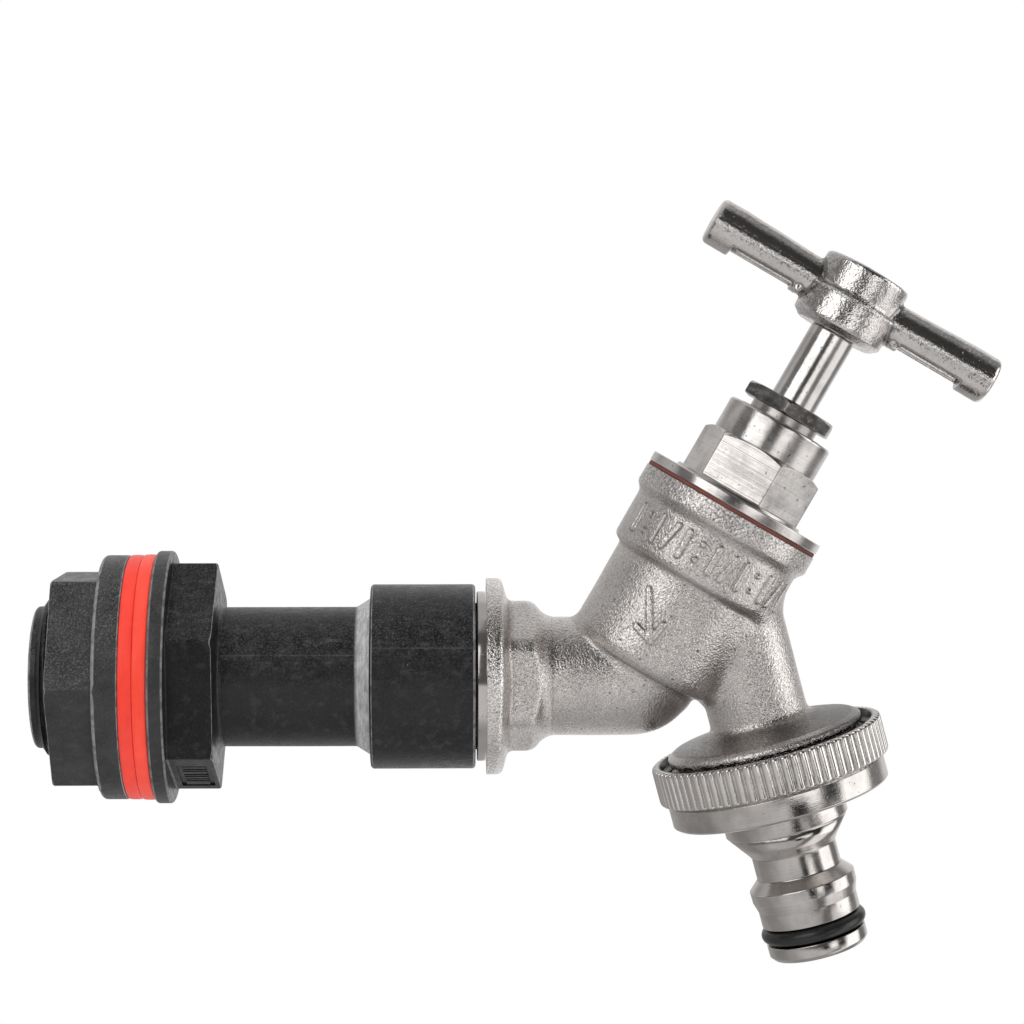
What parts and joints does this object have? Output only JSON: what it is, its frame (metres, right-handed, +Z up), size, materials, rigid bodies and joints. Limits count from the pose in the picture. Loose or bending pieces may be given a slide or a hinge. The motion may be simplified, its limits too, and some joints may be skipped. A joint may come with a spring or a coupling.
{
  "type": "water butt tap",
  "caption": "Angled draw-off tap on a threaded tank tail with backnut and rubber wall washers, crutch handle, and a knurled screw-on hose connector with a snap-fit nose.",
  "frame": {"origin": "on the pipe axis, in the plane where the two rubber wall washers meet, which is where the tank wall goes", "axes": "+X along the pipe from the tank out to the tap, +Z up, -Y the front of the tap"},
  "size_m": [0.1606, 0.042, 0.1275],
  "materials": {
    "black_plastic": "moulded black polypropylene, fine grain",
    "red_rubber": "smooth bright red rubber",
    "black_rubber": "smooth black rubber",
    "cast_nickel": "nickel-plated cast brass, satin with a shot-blasted grain",
    "turned_nickel": "nickel-plated turned brass, bright with tool marks",
    "dark_nut": "dark plated brass, rough",
    "bare_brass": "bare turned brass",
    "red_fibre": "vulcanised red-brown fibre",
    "graphite_packing": "greased graphite packing"
  },
  "bodies": {
    "tap": {"tank_tail": "black_plastic", "outer_washer": "red_rubber", "inlet_seal": "black_rubber", "tap_body": "cast_nickel", "bonnet_washer": "red_fibre", "bonnet": "turned_nickel", "gland_packing": "graphite_packing", "gland_washer": "bare_brass", "gland_nut": "dark_nut"},
    "valve": {"jumper": "bare_brass", "jumper_washer": "black_rubber", "jumper_nut": "bare_brass"},
    "handle": {"spindle": "turned_nickel", "crutch_handle": "cast_nickel", "handle_screw": "turned_nickel"},
    "clamp_washer": {"inner_washer": "red_rubber"},
    "backnut": {"backnut": "black_plastic"},
    "union_seal": {"connector_seal": "black_rubber"},
    "connector": {"hose_connector": "turned_nickel", "nose_o_ring": "black_rubber"}
  },
  "joints": [
    {"name": "valve_lift", "type": "slide", "parent": "tap", "child": "valve", "axis": [0.5, 0, 0.866], "range_m": [0, 0.00763]},
    {"name": "handle_turn", "type": "hinge", "parent": "valve", "child": "handle", "pos_m": [0.08175, 0, 0], "axis": [0.5, 0, 0.866], "range_deg": [0, 1080]},
    {"name": "washer_slide", "type": "slide", "parent": "tap", "child": "clamp_washer", "axis": [-1, 0, 0], "range_m": [0, 0.01452]},
    {"name": "backnut_turn", "type": "hinge", "parent": "clamp_washer", "child": "backnut", "pos_m": [0, 0, 0], "axis": [-1, 0, 0], "range_deg": [0, 2880]},
    {"name": "union_slide", "type": "slide", "parent": "tap", "child": "union_seal", "axis": [0.2588, 0, -0.9659], "range_m": [0, 0.00694]},
    {"name": "connector_turn", "type": "hinge", "parent": "union_seal", "child": "connector", "pos_m": [0.09475, 0, 0.02252], "axis": [0.2588, 0, -0.9659], "range_deg": [0, 1080]}
  ],
  "couplings": [
    {"joint": "valve_lift", "follows": "handle_turn", "m_per_rad": 0.00040425},
    {"joint": "washer_slide", "follows": "backnut_turn", "m_per_rad": 0.0002887},
    {"joint": "union_slide", "follows": "connector_turn", "m_per_rad": 0.0003675}
  ]
}
